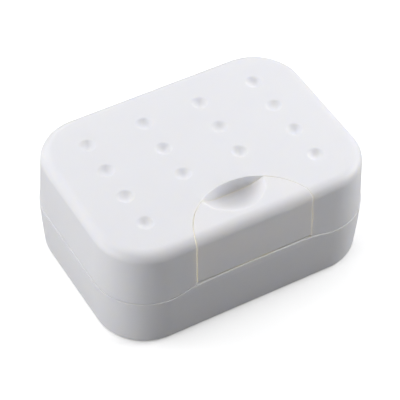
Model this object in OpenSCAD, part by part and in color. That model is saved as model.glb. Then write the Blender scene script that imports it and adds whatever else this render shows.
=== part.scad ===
// Travel soap box: a lower and an upper shell hinged at the back, a pull-down latch flap set flush
// into the front of the lid, and a loose drain tray.
// Millimetres, +Z up, +X to the right, front of the box towards -Y.
// The origin is the middle of the flat underside of the base.

/* [Box] */
// Length of the lid at the seam
box_len = 110; // [104:0.5:116]
// Width of the lid at the seam
box_wid = 79.2; // [77:0.2:84]
// Height of the closed box
box_h = 46.3; // [45.5:0.1:50]
// Corner radius in plan at the seam
corner_r = 20.5; // [19.5:0.5:21.5]
// Height of the seam between base and lid
seam_z = 22.4; // [22:0.1:22.8]

/* [Shells] */
// Thickness of the lid's wall
lid_wall = 1.8; // [1.6:0.1:2]
// Inward lean of the lid's sides in degrees
lid_draft = 2.6; // [1.5:0.1:3]
// Radius of the lid's top edge
top_r = 4; // [3.5:0.1:4.5]
// Thickness of the base's floor
floor_t = 2; // [1.6:0.1:2.2]
// Radius of the base's bottom edge
foot_r = 2; // [1:0.1:3]

/* [Dimples] */
// Spacing of the dimples along the box
dimple_dx = 23.6; // [20:0.1:25]
// Spacing of the dimples across the box
dimple_dy = 14.67; // [13:0.01:15]
// Radius of a dimple
dimple_r = 3; // [2:0.1:4]
// Depth of a dimple
dimple_depth = 1; // [0.6:0.1:1.2]

/* [Latch] */
// Width of the recess for the flap
latch_w = 48.2; // [46.1:0.3:49.1]
// Thickness of the flap
flap_t = 2; // [1.8:0.1:2.2]
// Distance of the recess's arched end from the front of the box
arch_reach = 20.9; // [20:0.1:22]
// Depth of the finger scoop
scoop_depth = 6.6; // [6:0.3:7.8]
// Radius of the finger scoop at the top face
scoop_r = 12.9; // [11:0.1:13.5]

/* [Tray] */
// Height of the tray's deck above the table
deck_z = 6; // [5:0.1:6.5]
// Width of a drain slot
slot_w = 4; // [3:0.1:4.5]
// Number of drain slots
slot_count = 8; // [4:2:8]

/* [Hidden] */
$fn = 96;

// Straight part of the sides: the corner centres lie at (+-cx, +-cy)
cx = box_len / 2 - corner_r;
cy = box_wid / 2 - corner_r;
white = [0.93, 0.93, 0.94];
tray_white = [0.9, 0.91, 0.92];
steel = [0.72, 0.73, 0.75];

// Seam between the shells, which rises at the front under the latch flap
seam_gap = 0.15;
seam_rise = 1.9;
seam_arch = 0.6;
rise_start = 34;
rise_end = 24;
front_cut_y = -cy - 6;
rise_steps = 8;
arch_steps = 8;

// Base rim: a bead stands proud of the lid, and an inner lip stands up into the lid
bead_out = 0.3;
bead_z = 12;
bead_full_z = 21.6;
base_neck = 0.2;
base_lean = 0.75;
base_wall = 2.3;
floor_r = 1;
lip_h = 2.4;
lip_t = 1.1;
lip_gap = 0.4;
lip_root = 2;
lip_stop_x = 34;

// Latch geometry: straight sides up the front of the lid, and one arc from side to side over them
side_reach = 1.7;
arch_rise = arch_reach - side_reach;
arch_r = (arch_rise * arch_rise + latch_w * latch_w / 4) / (2 * arch_rise);
arch_y = -box_wid / 2 + arch_reach - arch_r;
latch_gap = 0.45;
edge_gap = 0.2;
flap_x = latch_w / 2 - edge_gap;
pivot_y = -box_wid / 2 + 2.4;
pivot_z = seam_z + 4.6;
barrel_r = 1.95;
relief_r = 3.1;
flap_foot_z = seam_z + 2.6;
pocket_wall = 1.5;
cheek_x = 29;
scoop_y = -box_wid / 2 + 19.6;
scoop_lip = 1.2;
scoop_ball = (scoop_r * scoop_r + scoop_depth * scoop_depth) / (2 * scoop_depth);
scoop_ball_z = box_h - scoop_depth + scoop_ball;
scoop_shell = 1.8;
scoop_arm = norm([scoop_y - pivot_y, scoop_ball_z - pivot_z]);
scoop_angle = atan2(scoop_ball_z - pivot_z, scoop_y - pivot_y);
swing_x = 12;
swing_r = scoop_arm - scoop_ball - scoop_shell - latch_gap;
foot_bevel_y = 0.6;
foot_bevel_z = 1.6;
toe_w = 18;
toe_t = 1.4;
toe_back = 1.7;
toe_z = seam_z - 1.8;
toe_bevel = 0.6;
toe_hook_h = 0.8;
toe_reach = 0.2;
toe_gap = 0.4;
window_r = 7;
window_top = pivot_z + 3.6;
catch_z = seam_z - 2.2;
catch_h = 1.8;
catch_depth = 1;
catch_side = 0.8;

// Pins
pin_r = 1;
pin_fit = 0.04;
latch_pin_in = 5;
latch_pin_len = 9;

// Hinge at the back
hinge_y = box_wid / 2 + 3.4;
hinge_z = seam_z;
hinge_x = 27;
knuckle_r = 2.6;
lid_knuckle_w = 10;
base_knuckle_w = 5;
knuckle_gap = 0.25;
arm_split = 0.35;
arm_h = 7;
arm_angle = 55;
stop_angle = 110;
stop_gap = 0.15;
heel_step = 0.2;
hinge_pin_in = hinge_x - lid_knuckle_w / 2 - knuckle_gap - base_knuckle_w;
hinge_pin_out = hinge_x + lid_knuckle_w / 2 + knuckle_gap + base_knuckle_w - 1;

// Foot ring and centre pad under the base
foot_ring = 6;
foot_sink = 0.5;
pad_r = 8;

// Tray
tray_gap = 0.7;
deck_t = 1.6;
tray_rim_t = 1.4;
tray_rim_z = 10;
rib_h = 1.5;
rib_w = 1.6;
slot_len = 52;
tray_foot_r = 3;
tray_foot_out = 9.5;
slots_span = 77.3;
tab_w = 18;
tab_z = 15;
tab_r = 4;

// Radius of the lid's side at height z, measured from the corner centre
function lid_rho(z) = corner_r - tan(lid_draft) * (z - seam_z);

// Height of the seam at the front, at distance x from the middle
function smooth(t) = t * t * (3 - 2 * t);
function seam_at(x) = abs(x) >= rise_start ? seam_z
    : abs(x) >= rise_end ? seam_z + seam_rise * smooth((rise_start - abs(x)) / (rise_start - rise_end))
    : seam_z + seam_rise + seam_arch * (1 - x * x / (rise_end * rise_end));

// Section of the lid from its axis outwards, set in by a distance, with its rounded top edge
module lid_section(inset) {
    r = max(top_r - inset, 0.4);
    top = box_h - inset;
    reach = (lid_rho(seam_z) - inset / cos(lid_draft)) * cos(lid_draft) + seam_z * sin(lid_draft);
    rc = (reach - r - (top - r) * sin(lid_draft)) / cos(lid_draft);
    low = seam_z - 4 - inset;
    union() {
        polygon([
            [-cy - 1, low],
            [(reach - low * sin(lid_draft)) / cos(lid_draft), low],
            [rc + r * cos(lid_draft), top - r + r * sin(lid_draft)],
            [rc, top - r],
            [rc, top],
            [-cy - 1, top]
        ]);
        translate([rc, top - r])
            circle(r);
    }
}

// Section of the base from its axis outwards
module base_section() {
    rim = corner_r + bead_out;
    neck = corner_r - base_neck;
    foot = neck - base_lean;
    union() {
        polygon([
            [0, 0],
            [foot - foot_r, 0],
            [foot - foot_r, foot_r],
            [foot, foot_r],
            [neck, bead_z],
            [rim, bead_full_z],
            [rim, seam_z + 4],
            [0, seam_z + 4]
        ]);
        translate([foot - foot_r, foot_r])
            circle(foot_r);
    }
}

// Hollow of the base
module base_hollow_section() {
    top = corner_r - base_wall;
    low = top - base_lean;
    union() {
        polygon([
            [0, floor_t],
            [low - floor_r, floor_t],
            [low - floor_r, floor_t + floor_r],
            [low, floor_t + floor_r],
            [top, seam_z],
            [top, seam_z + 5],
            [0, seam_z + 5]
        ]);
        translate([low - floor_r, floor_t + floor_r])
            circle(floor_r);
    }
}

// A section carried round the four corners and along the four sides of the box
module around() {
    for (sx = [0, 1], sy = [0, 1])
        mirror([sx, 0, 0])
            mirror([0, sy, 0])
                translate([cx, cy, 0])
                    rotate_extrude(angle = 90)
                        children();
    for (s = [0, 180])
        rotate([0, 0, s]) {
            translate([0, cy, 0])
                rotate([90, 0, 90])
                    linear_extrude(2 * cx, center = true)
                        children();
            translate([cx, 0, 0])
                rotate([90, 0, 0])
                    linear_extrude(2 * cy, center = true)
                        children();
        }
}

// A solid section carried round the box, filled in between
module filled(low, high) {
    around()
        children();
    translate([-cx, -cy, low])
        cube([2 * cx, 2 * cy, high - low]);
}

// The part of a section outside the corner's axis
module outside_axis() {
    intersection() {
        children();
        translate([0, -10])
            square([100, 100]);
    }
}

module lid_solid(inset) {
    filled(seam_z - 4 - inset, box_h - inset)
        outside_axis()
            lid_section(inset);
}

// A section in the (y, z) plane carried along X
module along_x(width) {
    rotate([90, 0, 90])
        linear_extrude(width, center = true)
            children();
}

// The lid's section placed in the (y, z) plane at the front of the box
module front_section(inset) {
    mirror([1, 0, 0])
        translate([cy, 0])
            lid_section(inset);
}

// Everything above the seam, moved up by a gap
module above_seam(gap) {
    big = 300;
    translate([-big / 2, front_cut_y, seam_z + gap])
        cube([big, big, big]);
    translate([0, front_cut_y, 0])
        rotate([90, 0, 0])
            linear_extrude(big)
                polygon(concat(
                    [[-big / 2, seam_z + gap]],
                    [for (i = [0:rise_steps]) let (x = -rise_start + i * (rise_start - rise_end) / rise_steps)
                        [x, seam_at(x) + gap]],
                    [for (i = [1:arch_steps - 1]) let (x = -rise_end + i * 2 * rise_end / arch_steps)
                        [x, seam_at(x) + gap]],
                    [for (i = [0:rise_steps]) let (x = rise_end + i * (rise_start - rise_end) / rise_steps)
                        [x, seam_at(x) + gap]],
                    [[big / 2, seam_z + gap], [big / 2, big], [-big / 2, big]]
                ));
}

// Upright column with the latch's outline in plan, grown by a distance
module arch_column(grow) {
    linear_extrude(box_h + 20)
        intersection() {
            translate([0, arch_y])
                circle(arch_r + grow, $fn = 180);
            translate([-latch_w / 2 - grow, -box_wid])
                square([latch_w + 2 * grow, box_wid]);
        }
}

// A round dish sunk from the top face: a ball, and a soft lip that meets the face at a slight angle
module dish(rim, depth, lip) {
    ball = (rim * rim + depth * depth) / (2 * depth);
    ball_z = ball - depth;
    lip_z = -lip * cos(8);
    lip_x = sqrt(pow(ball + lip, 2) - pow(ball_z - lip_z, 2));
    touch_x = lip_x * ball / (ball + lip);
    touch_z = ball_z - (ball_z - lip_z) * ball / (ball + lip);
    translate([0, 0, ball_z])
        sphere(ball, $fn = 128);
    rotate_extrude()
        difference() {
            polygon([
                [touch_x * 0.7, touch_z],
                [lip_x, touch_z],
                [lip_x, 2],
                [touch_x * 0.7, 2]
            ]);
            translate([lip_x, lip_z])
                circle(lip);
        }
}

module dimples() {
    for (i = [0:3], j = [0:3])
        if (j > 0 || i == 0 || i == 3)
            translate([(i - 1.5) * dimple_dx, (j - 1.5) * dimple_dy, box_h])
                dish(dimple_r, dimple_depth, 2);
}

// The ball that shapes the underside of the scoop, grown by a distance
module scoop_ball_solid(grow) {
    translate([0, scoop_y, scoop_ball_z])
        sphere(scoop_ball + grow, $fn = 128);
}

// The trough that the ball swings through as the flap turns forward about its pins, grown by a wall
module scoop_swing(wall) {
    along_x(2 * (swing_x + wall))
        translate([pivot_y, pivot_z])
            difference() {
                rotate(scoop_angle)
                    translate([0, -wall])
                        square([40, 60]);
                circle(swing_r - wall);
            }
}

// Round bore or pin along X at a place in the (y, z) plane
module x_rod(r, x0, x1, y, z) {
    translate([x0, y, z])
        rotate([0, 90, 0])
            cylinder(r = r, h = x1 - x0, $fn = 64);
}

// Room in the lid for the closed flap and for its turning foot
module latch_recess() {
    intersection() {
        along_x(box_len)
            difference() {
                translate([-60, 0])
                    square([60, 70]);
                front_section(flap_t + latch_gap);
            }
        arch_column(0);
    }
    intersection() {
        union() {
            scoop_ball_solid(scoop_shell + latch_gap);
            scoop_swing(0);
        }
        arch_column(0);
    }
    x_rod(relief_r, -latch_w / 2, latch_w / 2, pivot_y, pivot_z);
    translate([-latch_w / 2, -60, 0])
        cube([latch_w, 60 + pivot_y + relief_r, pivot_z]);
}

// Walls that close the recess off from the inside of the lid, with a cheek at each side for a pin
module latch_housing() {
    housing_w = latch_w + 2 * pocket_wall;
    intersection() {
        along_x(box_len)
            difference() {
                translate([-60, 0])
                    square([60, 70]);
                front_section(flap_t + latch_gap + pocket_wall);
            }
        arch_column(pocket_wall);
    }
    intersection() {
        union() {
            scoop_ball_solid(scoop_shell + latch_gap + pocket_wall);
            scoop_swing(pocket_wall);
        }
        arch_column(pocket_wall);
    }
    x_rod(relief_r + pocket_wall, -housing_w / 2, housing_w / 2, pivot_y, pivot_z);
    translate([-housing_w / 2, -60, 0])
        cube([housing_w, 60 + pivot_y + relief_r + pocket_wall, pivot_z]);
    translate([-cheek_x, -60, 0])
        cube([2 * cheek_x, 60 + pivot_y + relief_r + pocket_wall, pivot_z + relief_r]);
}

// Hinge arm of either shell: a knuckle with a tapered web to the shell's back wall
module hinge_arm(side) {
    translate([hinge_y, hinge_z])
        circle(knuckle_r);
    polygon([
        [box_wid / 2 - 1, hinge_z + side * arm_split],
        [hinge_y, hinge_z + side * arm_split],
        [hinge_y + knuckle_r * cos(arm_angle), hinge_z + side * knuckle_r * sin(arm_angle)],
        [box_wid / 2 - 1, hinge_z + side * arm_h]
    ]);
}

// Heel on the lid's knuckle that meets the base's back wall when the lid stands fully open
module stop_heel() {
    heel_y = hinge_y - box_wid / 2 - bead_out - stop_gap;
    heel_z = knuckle_r - heel_step;
    translate([hinge_y, hinge_z])
        rotate(stop_angle)
            polygon([[-heel_y, -heel_z], [0, -heel_z], [0, 0], [-heel_y, 0]]);
}

module lid_hinge() {
    for (s = [-1, 1])
        translate([s * hinge_x, 0, 0])
            along_x(lid_knuckle_w)
                union() {
                    hinge_arm(1);
                    stop_heel();
                }
}

module base_hinge() {
    offset_x = (lid_knuckle_w + base_knuckle_w) / 2 + knuckle_gap;
    for (s = [-1, 1], t = [-1, 1])
        translate([s * hinge_x + t * offset_x, 0, 0])
            along_x(base_knuckle_w)
                hinge_arm(-1);
}

// Bores for the hinge pins, open at their inner end and blind at the outer one
module hinge_bores() {
    for (s = [0, 1])
        mirror([s, 0, 0])
            x_rod(pin_r + pin_fit, hinge_pin_in - 1, hinge_pin_out, hinge_y, hinge_z);
}

module base_lip() {
    lip_out = corner_r - lid_wall - lip_gap;
    difference() {
        around()
            polygon([
                [lip_out, seam_z - lip_root - lip_t],
                [lip_out, seam_z + lip_h],
                [lip_out - lip_t, seam_z + lip_h],
                [lip_out - lip_t, seam_z - lip_root]
            ]);
        translate([-lip_stop_x, -box_wid, 0])
            cube([2 * lip_stop_x, box_wid, box_h]);
    }
}

module base_shell() {
    wall_y = -cy - corner_r + base_wall;
    color(white)
        difference() {
            union() {
                difference() {
                    filled(0, seam_z + 4)
                        base_section();
                    filled(floor_t, seam_z + 5)
                        base_hollow_section();
                    above_seam(0);
                }
                base_lip();
                base_hinge();
            }
            x_rod(relief_r, -latch_w / 2, latch_w / 2, pivot_y, pivot_z);
            translate([-toe_w / 2 - catch_side, wall_y - catch_depth, catch_z])
                cube([toe_w + 2 * catch_side, catch_depth + 1, catch_h]);
            hinge_bores();
            difference() {
                translate([0, 0, -1])
                    linear_extrude(1 + foot_sink)
                        plan(corner_r - base_neck - base_lean - foot_r - foot_ring);
                translate([0, 0, -2])
                    cylinder(r = pad_r, h = 4);
            }
        }
}

module dimple_domes() {
    ball = (dimple_r * dimple_r + dimple_depth * dimple_depth) / (2 * dimple_depth);
    for (i = [0:3], j = [0:3])
        if (j > 0 || i == 0 || i == 3)
            translate([(i - 1.5) * dimple_dx, (j - 1.5) * dimple_dy, 0])
                intersection() {
                    translate([0, 0, box_h - dimple_depth + ball])
                        sphere(ball + lid_wall);
                    translate([-10, -10, 0])
                        cube([20, 20, box_h - lid_wall / 2]);
                }
}

module lid_shell() {
    color(white)
        difference() {
            union() {
                intersection() {
                    union() {
                        difference() {
                            lid_solid(0);
                            lid_solid(lid_wall);
                        }
                        intersection() {
                            latch_housing();
                            lid_solid(lid_wall / 2);
                        }
                        dimple_domes();
                    }
                    above_seam(seam_gap);
                }
                lid_hinge();
            }
            latch_recess();
            dimples();
            translate([-toe_w / 2 - toe_gap, pivot_y + 0.5, 0])
                cube([toe_w + 2 * toe_gap, window_r - 0.5, window_top]);
            for (s = [0, 1])
                mirror([s, 0, 0])
                    x_rod(pin_r + pin_fit / 2, latch_w / 2 - 1, cheek_x + 1, pivot_y, pivot_z);
            hinge_bores();
        }
}

// Section of the flap: a bent plate under the lid's surface with a round barrel at its foot
module flap_section() {
    front_y = -box_wid / 2;
    intersection() {
        difference() {
            front_section(0);
            front_section(flap_t);
        }
        polygon([
            [front_y - 1, flap_foot_z + foot_bevel_z],
            [front_y + foot_bevel_y, flap_foot_z],
            [0, flap_foot_z],
            [0, 70],
            [front_y - 1, 70]
        ]);
    }
    translate([pivot_y, pivot_z])
        circle(barrel_r);
}

module latch_flap() {
    toe_y = pivot_y + toe_back;
    hook_y = -cy - corner_r + base_wall + toe_reach;
    color(white)
        difference() {
            union() {
                intersection() {
                    along_x(latch_w)
                        flap_section();
                    arch_column(-edge_gap);
                }
                intersection() {
                    scoop_ball_solid(scoop_shell);
                    arch_column(-edge_gap);
                    along_x(latch_w)
                        front_section(0);
                }
                along_x(toe_w)
                    polygon([
                        [toe_y, pivot_z],
                        [toe_y, toe_z + toe_bevel],
                        [toe_y - toe_bevel, toe_z],
                        [hook_y, toe_z],
                        [hook_y, toe_z + toe_hook_h],
                        [toe_y - toe_t, toe_z + toe_hook_h + toe_bevel],
                        [toe_y - toe_t, pivot_z]
                    ]);
            }
            translate([0, scoop_y, box_h])
                dish(scoop_r, scoop_depth, scoop_lip);
            for (s = [0, 1])
                mirror([s, 0, 0])
                    x_rod(pin_r + pin_fit, flap_x - latch_pin_in - 0.1, flap_x + 1, pivot_y, pivot_z);
        }
}

// Rounded outline about the box's corner centres
module plan(rho) {
    for (sx = [-1, 1], sy = [-1, 1])
        translate([sx * cx, sy * cy])
            circle(rho);
    square([2 * (cx + rho), 2 * cy], center = true);
    square([2 * cx, 2 * (cy + rho)], center = true);
}

module drain_slot() {
    for (s = [-1, 1])
        translate([0, s * (slot_len - slot_w) / 2])
            circle(slot_w / 2);
    square([slot_w, slot_len - slot_w], center = true);
}

module lift_tab() {
    for (s = [-1, 1])
        translate([s * (tab_w / 2 - tab_r), tab_z - tab_r])
            circle(tab_r);
    translate([-tab_w / 2 + tab_r, tab_z - 2 * tab_r])
        square([tab_w - 2 * tab_r, 2 * tab_r]);
    translate([-tab_w / 2, deck_z])
        square([tab_w, tab_z - tab_r - deck_z]);
}

module drain_tray() {
    rho = corner_r - base_wall - base_lean - tray_gap;
    pitch = slots_span / (slot_count - 1);
    color(tray_white)
        difference() {
            union() {
                translate([0, 0, deck_z])
                    linear_extrude(tray_rim_z - deck_z)
                        difference() {
                            plan(rho);
                            plan(rho - tray_rim_t);
                        }
                translate([0, 0, deck_z])
                    linear_extrude(deck_t)
                        plan(rho - tray_rim_t / 2);
                for (i = [0:slot_count - 2])
                    translate([(i - (slot_count - 2) / 2) * pitch - rib_w / 2, -slot_len / 2 - 3,
                        deck_z + deck_t / 2])
                        cube([rib_w, slot_len + 6, deck_t / 2 + rib_h]);
                for (sx = [-1, 1], sy = [-1, 1])
                    translate([sx * (cx + tray_foot_out), sy * cy, floor_t])
                        cylinder(r = tray_foot_r, h = deck_z - floor_t + deck_t / 2);
                for (s = [0, 180])
                    rotate([0, 0, s])
                        translate([cx + rho - tray_rim_t / 2, 0, 0])
                            along_x(tray_rim_t)
                                lift_tab();
            }
            for (i = [0:slot_count - 1])
                translate([(i - (slot_count - 1) / 2) * pitch, 0, deck_z - 1])
                    linear_extrude(deck_t + 2)
                        drain_slot();
        }
}

module hinge_pin(s) {
    color(steel)
        mirror([s, 0, 0])
            x_rod(pin_r, hinge_pin_in + 0.2, hinge_pin_out - 0.1, hinge_y, hinge_z);
}

module latch_pin(s) {
    color(steel)
        mirror([s, 0, 0])
            x_rod(pin_r, flap_x - latch_pin_in, flap_x - latch_pin_in + latch_pin_len, pivot_y, pivot_z);
}

base_shell();
lid_shell();
latch_flap();
drain_tray();
hinge_pin(1);  // hinge_pin_left
hinge_pin(0);  // hinge_pin_right
latch_pin(1);  // latch_pin_left
latch_pin(0);  // latch_pin_right
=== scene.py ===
"""Looks of a travel soap box: satin white shells, a latch flap, a drain tray and four steel pins."""

from math import cos, radians, sin

import bpy
from mathutils import Matrix, Vector

MM = 0.001

# Camera: direction of view, distance and focal length, with the lengths in dimple spacings
DIMPLE_STEP = 23.62 * MM
BOX_TOP = 46.3 * MM
CAMERA_AZIMUTH = -30.9389
CAMERA_ELEVATION = 46.3758
CAMERA_ROLL = 1.4412
CAMERA_DISTANCE = 29.4673
CAMERA_SHIFT_X = 0.0247
CAMERA_SHIFT_Y = 0.7776
FOCAL_PIXELS = 1906.05
IMAGE_PIXELS = 400
SENSOR_MM = 36

# Colours, linear
SHELL_WHITE = (0.81, 0.81, 0.84)
TRAY_WHITE = (0.74, 0.77, 0.82)
GLOW = (0.92, 0.84, 0.66)
STEEL = (0.62, 0.63, 0.65)
# Colour of the painted glow in close gaps
PAINTED_GLOW_COLOUR = (1, 0.88, 0.52)

# Plastic: share of light that scatters inside it, and how far that goes
SCATTER = 0.6
SCATTER_DEPTH = 2.5 * MM
PLASTIC_IOR = 1.49

# Painted glow, an emission and no lamp, where surfaces lie close: strength, reach, and openness at which
# it starts and is full
LATCH_PAINTED_GLOW = 0.41
SEAM_PAINTED_GLOW = 0.03
GAP_REACH = 1.2 * MM
GAP_STARTS = 0.6
GAP_FULL = 0.05

# Floor and world: colours, glow, and the distances from the middle where white begins and is full
FLOOR_SIZE = 6
FLOOR_BOUNCE = (0.3, 0.3, 0.3)
FLOOR_SEEN = (1, 1, 1)
FLOOR_GLOW = 0.24
SHADOW_REACH = 130 * MM
WHITE_FROM = 340 * MM
WORLD_STRENGTH = 0.01


def socket(node, name):
    return next(s for s in node.inputs if s.name == name and s.enabled)


def new_material(name):
    material = bpy.data.materials.new(name)
    material.use_nodes = True
    tree = material.node_tree
    return material, tree, tree.nodes["Principled BSDF"]


def noise(tree, scale, detail, stretch=(1, 1, 1)):
    """Noise that sits on the object in metres, as a grey value from 0 to 1."""
    place = tree.nodes.new("ShaderNodeTexCoord")
    spread = tree.nodes.new("ShaderNodeMapping")
    spread.inputs["Scale"].default_value = stretch
    grain = tree.nodes.new("ShaderNodeTexNoise")
    grain.inputs["Scale"].default_value = scale
    grain.inputs["Detail"].default_value = detail
    tree.links.new(place.outputs["Object"], spread.inputs["Vector"])
    tree.links.new(spread.outputs["Vector"], grain.inputs["Vector"])
    return grain.outputs["Fac"]


def ranged(tree, value, low, high):
    """A grey value spread over a range."""
    node = tree.nodes.new("ShaderNodeMapRange")
    node.inputs["To Min"].default_value = low
    node.inputs["To Max"].default_value = high
    tree.links.new(value, node.inputs["Value"])
    return node.outputs["Result"]


def mixed(tree, value, low, high):
    """A colour between two, by a grey value."""
    node = tree.nodes.new("ShaderNodeMix")
    node.data_type = "RGBA"
    tree.links.new(value, socket(node, "Factor"))
    socket(node, "A").default_value = (*low, 1)
    socket(node, "B").default_value = (*high, 1)
    return next(s for s in node.outputs if s.enabled)


def relief(tree, shader, edge, layers):
    """Soft edges of a radius in metres, with layers of bump over them: (height, depth in metres)."""
    bevel = tree.nodes.new("ShaderNodeBevel")
    bevel.samples = 8
    bevel.inputs["Radius"].default_value = edge
    normal = bevel.outputs["Normal"]
    for height, depth in layers:
        bump = tree.nodes.new("ShaderNodeBump")
        bump.inputs["Strength"].default_value = 1
        bump.inputs["Distance"].default_value = depth
        tree.links.new(height, bump.inputs["Height"])
        tree.links.new(normal, bump.inputs["Normal"])
        normal = bump.outputs["Normal"]
    tree.links.new(normal, shader.inputs["Normal"])


def paint_glow_in_gaps(tree, shader, strength):
    """Painted light: a warm glow emitted where surfaces lie close together, found by ambient occlusion,
    standing in for light that thin plastic lets into the gaps.
    """
    shelter = tree.nodes.new("ShaderNodeAmbientOcclusion")
    shelter.samples = 8
    shelter.inputs["Distance"].default_value = GAP_REACH
    painted_glow_strength = tree.nodes.new("ShaderNodeMapRange")
    painted_glow_strength.inputs["From Min"].default_value = GAP_STARTS
    painted_glow_strength.inputs["From Max"].default_value = GAP_FULL
    painted_glow_strength.inputs["To Max"].default_value = strength
    tree.links.new(shelter.outputs["AO"], painted_glow_strength.inputs["Value"])
    shader.inputs["Emission Color"].default_value = (*PAINTED_GLOW_COLOUR, 1)
    tree.links.new(painted_glow_strength.outputs["Result"], shader.inputs["Emission Strength"])


def moulded_plastic(name, white, edge, tint=0.97, painted_glow=0):
    """Satin moulded plastic: slow flow marks in its colour, a fine spark-eroded grain and soft edges."""
    material, tree, shader = new_material(name)
    flow = noise(tree, 22, 3, (1, 1.6, 2.2))
    grain = noise(tree, 2600, 2)
    cloud = noise(tree, 260, 4)
    deeper = tuple(c * tint for c in white)
    tree.links.new(mixed(tree, flow, deeper, white), shader.inputs["Base Color"])
    tree.links.new(ranged(tree, cloud, 0.40, 0.52), shader.inputs["Roughness"])
    relief(tree, shader, edge, [(flow, 0.00012), (cloud, 0.00001), (grain, 0.000012)])
    # Painted light: a warm emission glow in close gaps, where there is no lamp
    if painted_glow > 0:
        paint_glow_in_gaps(tree, shader, painted_glow)
    shader.inputs["IOR"].default_value = PLASTIC_IOR
    shader.inputs["Subsurface Weight"].default_value = SCATTER
    shader.inputs["Subsurface Radius"].default_value = GLOW
    shader.inputs["Subsurface Scale"].default_value = SCATTER_DEPTH
    return material


def drawn_steel(name):
    """Drawn wire: fine lines along its length."""
    material, tree, shader = new_material(name)
    lines = noise(tree, 900, 3, (0.04, 1, 1))
    spots = noise(tree, 1500, 2)
    dark = tuple(c * 0.86 for c in STEEL)
    tree.links.new(mixed(tree, lines, dark, STEEL), shader.inputs["Base Color"])
    tree.links.new(ranged(tree, spots, 0.22, 0.38), shader.inputs["Roughness"])
    relief(tree, shader, 0.00015, [(lines, 0.00001)])
    shader.inputs["Metallic"].default_value = 1
    return material


def choose_by_camera_ray(tree, seen, other):
    """One shader for the rays of the camera and another for all others."""
    path = tree.nodes.new("ShaderNodeLightPath")
    choice = tree.nodes.new("ShaderNodeMixShader")
    tree.links.new(path.outputs["Is Camera Ray"], choice.inputs["Fac"])
    tree.links.new(other, choice.inputs[1])
    tree.links.new(seen, choice.inputs[2])
    return choice.outputs["Shader"]


def diffuse(tree, colour):
    node = tree.nodes.new("ShaderNodeBsdfDiffuse")
    node.inputs["Color"].default_value = (*colour, 1)
    return node.outputs["BSDF"]


def distance_out(tree, near, far):
    """A grey value that goes from 0 to 1 between two distances from the middle of the object."""
    place = tree.nodes.new("ShaderNodeTexCoord")
    length = tree.nodes.new("ShaderNodeVectorMath")
    length.operation = "LENGTH"
    span = tree.nodes.new("ShaderNodeMapRange")
    span.inputs["From Min"].default_value = near
    span.inputs["From Max"].default_value = far
    tree.links.new(place.outputs["Object"], length.inputs[0])
    tree.links.new(length.outputs["Value"], span.inputs["Value"])
    return span.outputs["Result"]


def make_floor(size):
    """A white floor that keeps the object's shadow and goes to plain white further out.

    It throws back less light than it shows.
    """
    bpy.ops.mesh.primitive_plane_add(size=size)
    floor = bpy.context.object
    floor.name = "floor"
    material = bpy.data.materials.new("floor_white")
    material.use_nodes = True
    tree = material.node_tree
    tree.nodes.clear()
    glow = tree.nodes.new("ShaderNodeEmission")
    glow.inputs["Strength"].default_value = FLOOR_GLOW
    both = tree.nodes.new("ShaderNodeAddShader")
    tree.links.new(diffuse(tree, FLOOR_SEEN), both.inputs[0])
    tree.links.new(glow.outputs["Emission"], both.inputs[1])
    white = tree.nodes.new("ShaderNodeEmission")
    fading = tree.nodes.new("ShaderNodeMixShader")
    tree.links.new(distance_out(tree, SHADOW_REACH, WHITE_FROM), fading.inputs["Fac"])
    tree.links.new(both.outputs["Shader"], fading.inputs[1])
    tree.links.new(white.outputs["Emission"], fading.inputs[2])
    out = tree.nodes.new("ShaderNodeOutputMaterial")
    shown = choose_by_camera_ray(tree, fading.outputs["Shader"], diffuse(tree, FLOOR_BOUNCE))
    tree.links.new(shown, out.inputs["Surface"])
    floor.data.materials.append(material)


def make_world():
    """White where the camera sees it, and a soft grey light on the object."""
    world = bpy.data.worlds.new("studio")
    bpy.context.scene.world = world
    world.use_nodes = True
    tree = world.node_tree
    tree.nodes.clear()
    soft = tree.nodes.new("ShaderNodeBackground")
    soft.inputs["Color"].default_value = (0.96, 0.98, 1, 1)
    soft.inputs["Strength"].default_value = WORLD_STRENGTH
    white = tree.nodes.new("ShaderNodeBackground")
    white.inputs["Strength"].default_value = 1
    out = tree.nodes.new("ShaderNodeOutputWorld")
    shown = choose_by_camera_ray(tree, white.outputs["Background"], soft.outputs["Background"])
    tree.links.new(shown, out.inputs["Surface"])


def add_lamp(name, azimuth, elevation, distance, size, power):
    """A square soft lamp that faces the box, from a direction given as for the camera."""
    a = radians(azimuth)
    e = radians(elevation)
    away = Vector((sin(a) * cos(e), -cos(a) * cos(e), sin(e)))
    lamp = bpy.data.lights.new(name, "AREA")
    lamp.size = size
    lamp.energy = power
    holder = bpy.data.objects.new(name, lamp)
    bpy.context.scene.collection.objects.link(holder)
    holder.location = away * distance + Vector((0, 0, 0.02))
    holder.rotation_euler = away.to_track_quat("Z", "Y").to_euler()


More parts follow.
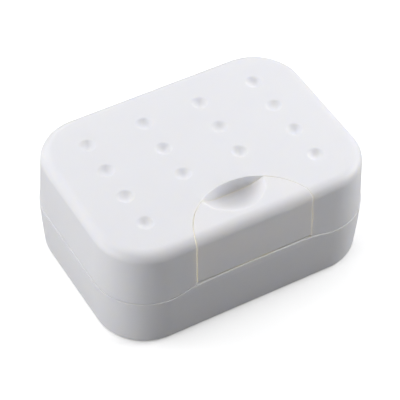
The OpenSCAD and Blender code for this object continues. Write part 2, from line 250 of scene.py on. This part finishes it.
def make_camera():
    """The camera that took the picture, from the places of the dimples in it."""
    a = radians(CAMERA_AZIMUTH)
    e = radians(CAMERA_ELEVATION)
    r = radians(CAMERA_ROLL)
    back = Vector((sin(a) * cos(e), -cos(a) * cos(e), sin(e)))
    level = Vector((0, 0, 1)).cross(back).normalized()
    upright = back.cross(level)
    right = cos(r) * level + sin(r) * upright
    up = cos(r) * upright - sin(r) * level
    place = CAMERA_DISTANCE * back - CAMERA_SHIFT_X * right - CAMERA_SHIFT_Y * up
    data = bpy.data.cameras.new("camera")
    data.sensor_width = SENSOR_MM
    data.lens = FOCAL_PIXELS / IMAGE_PIXELS * SENSOR_MM
    data.clip_start = 0.01
    data.clip_end = 20
    camera = bpy.data.objects.new("camera", data)
    bpy.context.scene.collection.objects.link(camera)
    turn = Matrix((right, up, back)).transposed().to_4x4()
    camera.matrix_world = Matrix.Translation(place * DIMPLE_STEP + Vector((0, 0, BOX_TOP))) @ turn
    bpy.context.scene.camera = camera


def dress(node, material):
    for place in node.material_slots:
        place.material = material


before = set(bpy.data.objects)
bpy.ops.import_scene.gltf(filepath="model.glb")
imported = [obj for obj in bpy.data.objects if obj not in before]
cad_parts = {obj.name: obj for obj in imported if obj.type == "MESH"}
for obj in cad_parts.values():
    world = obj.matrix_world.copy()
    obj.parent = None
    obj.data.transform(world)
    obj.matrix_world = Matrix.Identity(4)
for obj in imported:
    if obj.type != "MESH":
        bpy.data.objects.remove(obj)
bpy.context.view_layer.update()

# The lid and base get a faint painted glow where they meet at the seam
shell = moulded_plastic("shell_satin", SHELL_WHITE, 0.00045, painted_glow=SEAM_PAINTED_GLOW)
# The latch flap gets a stronger painted glow in its gaps
latch = moulded_plastic("latch_satin", SHELL_WHITE, 0.0005, 0.975, LATCH_PAINTED_GLOW)
tray = moulded_plastic("tray_satin", TRAY_WHITE, 0.0003)
steel = drawn_steel("pin_steel")
MATERIAL_OF = {"base_shell": shell, "lid_shell": shell, "latch_flap": latch, "drain_tray": tray}
for name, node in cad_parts.items():
    dress(node, MATERIAL_OF.get(name, steel))

make_floor(FLOOR_SIZE)
make_world()
add_lamp("over_left", -100, 60, 1.2, 0.8, 5.8)
add_lamp("back", 180, 35, 1.0, 0.7, 3.6)
add_lamp("back_left", -135, 35, 1.0, 0.7, 1.8)
add_lamp("back_right", 130, 35, 1.2, 0.8, 1.8)
add_lamp("low_left", -90, 8, 1.0, 0.4, 3.5)
add_lamp("low_front_left", -68, 6, 1.0, 0.4, 1.65)
add_lamp("right", 75, 32, 0.55, 0.35, 1.3)
add_lamp("low_right", 70, 20, 0.7, 0.4, 1.9)
make_camera()
bpy.context.scene.view_settings.view_transform = "Standard"
